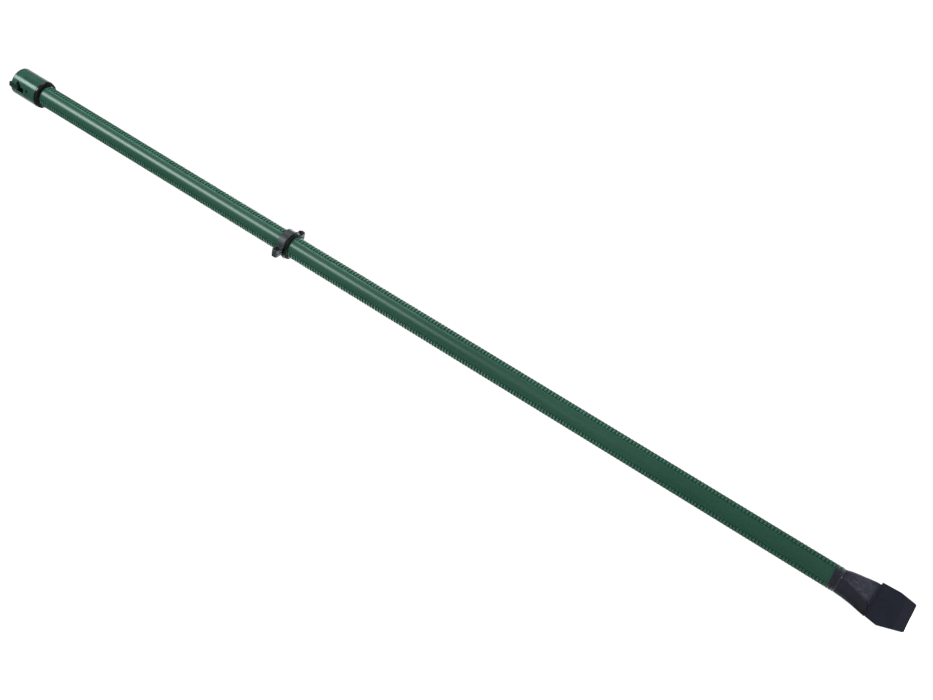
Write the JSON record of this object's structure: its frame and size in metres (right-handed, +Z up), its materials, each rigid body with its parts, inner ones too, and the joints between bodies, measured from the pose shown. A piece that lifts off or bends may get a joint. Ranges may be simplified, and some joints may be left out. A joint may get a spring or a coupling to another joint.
{
  "type": "post driver",
  "caption": "Slender green ribbed driving bar with a bayonet socket head and sprung plunger, a sliding clamp collar and a flattened black steel blade.",
  "frame": {"origin": "on the bar's axis at the lowest point of the blade", "axes": "+Z up the bar from the blade to the socket head; -Y is the front, and the blade lies in the XZ plane"},
  "size_m": [0.0532, 0.0546, 1.4908],
  "materials": {
    "green_coat": "glossy",
    "green_plastic": "glossy",
    "black_rubber": "semi-gloss",
    "black_dip": "satin",
    "black_steel": "satin",
    "grey_plastic": "matt",
    "steel_dark": "dull",
    "steel_bright": "satin",
    "spring_steel": "satin"
  },
  "bodies": {
    "bar": {"core_tube": "black_steel", "neck": "black_steel", "neck_joiner": "steel_dark", "shaft_sleeve": "green_plastic", "rib_strip_left": "green_plastic", "rib_strip_right": "green_plastic", "sleeve_rivets": "steel_bright", "dip_band": "black_dip", "blade_plate": "black_steel", "blade_weld": "black_steel", "head_socket": "green_coat", "mouth_ring": "black_rubber", "head_pins": "steel_dark", "guide_bush": "steel_bright"},
    "socket_plunger": {"plunger": "green_coat", "plunger_spring": "spring_steel", "plunger_washer": "steel_bright", "plunger_clip": "spring_steel"},
    "collar_bush": {"collar_liner": "black_rubber"},
    "clamp_collar": {"collar_front": "grey_plastic", "collar_back": "grey_plastic", "collar_screws": "steel_dark", "collar_washers": "steel_bright", "collar_nuts": "steel_dark"}
  },
  "joints": [
    {"name": "plunger_press", "type": "slide", "parent": "bar", "child": "socket_plunger", "axis": [0, 0, 1], "range_m": [-0.012, 0], "stiffness_N_per_m": 900, "springref_m": 0.006, "deforming": ["plunger_spring"]},
    {"name": "collar_slide", "type": "slide", "parent": "bar", "child": "collar_bush", "axis": [0, 0, 1], "range_m": [-0.838, 0.46]},
    {"name": "collar_turn", "type": "hinge", "parent": "collar_bush", "child": "clamp_collar", "pos_m": [0, 0, 0.95805], "axis": [0, 0, 1], "continuous": true}
  ]
}
